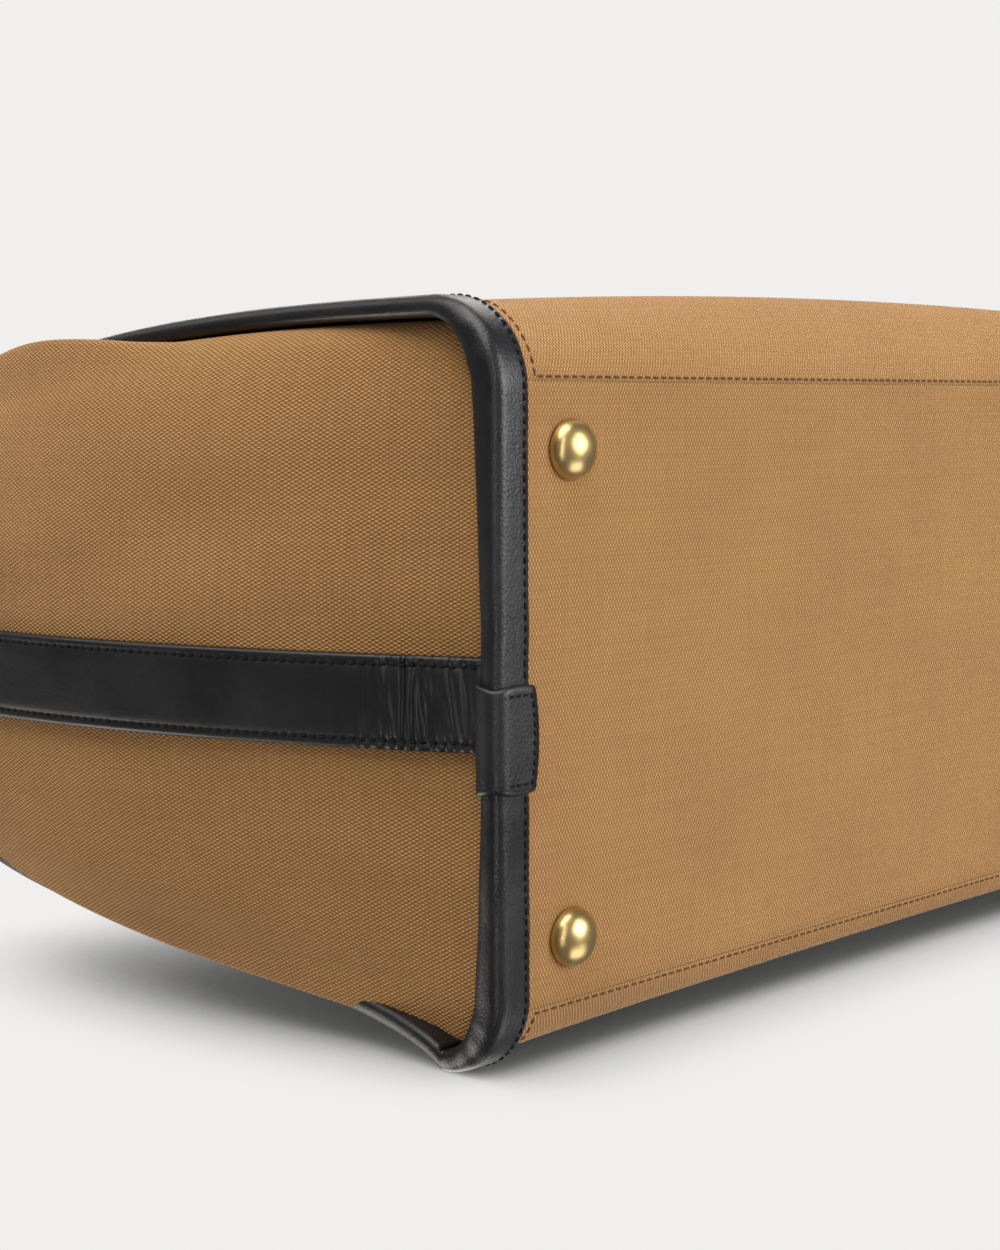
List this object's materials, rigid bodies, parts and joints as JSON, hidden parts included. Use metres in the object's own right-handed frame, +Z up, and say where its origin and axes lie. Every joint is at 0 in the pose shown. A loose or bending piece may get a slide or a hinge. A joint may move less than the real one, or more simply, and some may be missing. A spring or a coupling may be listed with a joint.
{
  "type": "doctor bag",
  "caption": "Canvas doctor bag with a hinged mouth frame, leather binding and straps, rolled handles, a hasp clasp and domed metal feet.",
  "frame": {"origin": "middle of the footprint, on the surface that the feet stand on", "axes": "+X along the bag's length, -Y the front with the clasp, +Z up to the handles"},
  "size_m": [0.5086, 0.1986, 0.37],
  "materials": {
    "canvas": "coarse plain weave",
    "leather": "smooth, fine grain",
    "brass": "satin",
    "frame_metal": "satin",
    "lining": "twill",
    "board": "bonded leather board"
  },
  "bodies": {
    "bag": {"base_panel": "canvas", "front_panel": "canvas", "back_panel": "canvas", "gusset_left": "canvas", "gusset_right": "canvas", "gusset_fold_left": "canvas", "gusset_fold_right": "canvas", "binding_left": "leather", "binding_right": "leather", "gusset_strap_left": "leather", "gusset_strap_right": "leather", "keeper_tab_left": "leather", "keeper_tab_right": "leather", "base_board": "board", "lining": "lining", "inner_pocket": "lining", "foot_front_left": "brass", "foot_front_right": "brass", "foot_back_left": "brass", "foot_back_right": "brass", "foot_washer_front_left": "frame_metal", "foot_washer_front_right": "frame_metal", "foot_washer_back_left": "frame_metal", "foot_washer_back_right": "frame_metal", "hinge_pin_left": "brass", "hinge_pin_right": "brass", "ring_chape_left": "leather", "ring_chape_right": "leather"},
    "front_frame": {"frame_front": "frame_metal", "frame_cover_front": "leather", "front_yoke": "canvas", "handle_lug_front_left": "brass", "handle_lug_front_right": "brass", "handle_pin_front_left": "brass", "handle_pin_front_right": "brass", "lock_plate": "brass"},
    "back_frame": {"frame_back": "frame_metal", "frame_cover_back": "leather", "back_yoke": "canvas", "handle_lug_back_left": "brass", "handle_lug_back_right": "brass", "handle_pin_back_left": "brass", "handle_pin_back_right": "brass", "hasp_mount": "brass", "hasp_pin": "brass"},
    "front_handle": {"handle_front": "leather"},
    "back_handle": {"handle_back": "leather"},
    "hasp": {"hasp": "brass"},
    "knob": {"turn_knob": "brass"},
    "left_ring": {"end_ring_left": "brass"},
    "right_ring": {"end_ring_right": "brass"}
  },
  "joints": [
    {"name": "front_frame_hinge", "type": "hinge", "parent": "bag", "child": "front_frame", "pos_m": [0, 0, 0.236], "axis": [1, 0, 0], "range_deg": [0, 40], "deforming": ["front_yoke", "gusset_fold_left", "gusset_fold_right"]},
    {"name": "back_frame_hinge", "type": "hinge", "parent": "bag", "child": "back_frame", "pos_m": [0, 0, 0.236], "axis": [-1, 0, 0], "range_deg": [0, 40], "deforming": ["back_yoke"]},
    {"name": "front_handle_swing", "type": "hinge", "parent": "front_frame", "child": "front_handle", "pos_m": [0, -0.0215, 0.286], "axis": [1, 0, 0], "range_deg": [-8, 95]},
    {"name": "back_handle_swing", "type": "hinge", "parent": "back_frame", "child": "back_handle", "pos_m": [0, 0.0215, 0.286], "axis": [-1, 0, 0], "range_deg": [-8, 95]},
    {"name": "hasp_swing", "type": "hinge", "parent": "back_frame", "child": "hasp", "pos_m": [0, 0.006, 0.3005], "axis": [1, 0, 0], "range_deg": [0, 150]},
    {"name": "knob_turn", "type": "hinge", "parent": "front_frame", "child": "knob", "pos_m": [0, -0.0129, 0.2882], "axis": [0, -1, 0], "range_deg": [0, 90]},
    {"name": "left_ring_swing", "type": "hinge", "parent": "bag", "child": "left_ring", "pos_m": [-0.24568, 0.0015, 0.21249], "axis": [0, 1, 0], "range_deg": [0, 140]},
    {"name": "right_ring_swing", "type": "hinge", "parent": "bag", "child": "right_ring", "pos_m": [0.24568, 0.0015, 0.21249], "axis": [0, -1, 0], "range_deg": [0, 140]}
  ],
  "couplings": [
    {"joint": "back_frame_hinge", "follows": "front_frame_hinge", "ratio": 1}
  ]
}
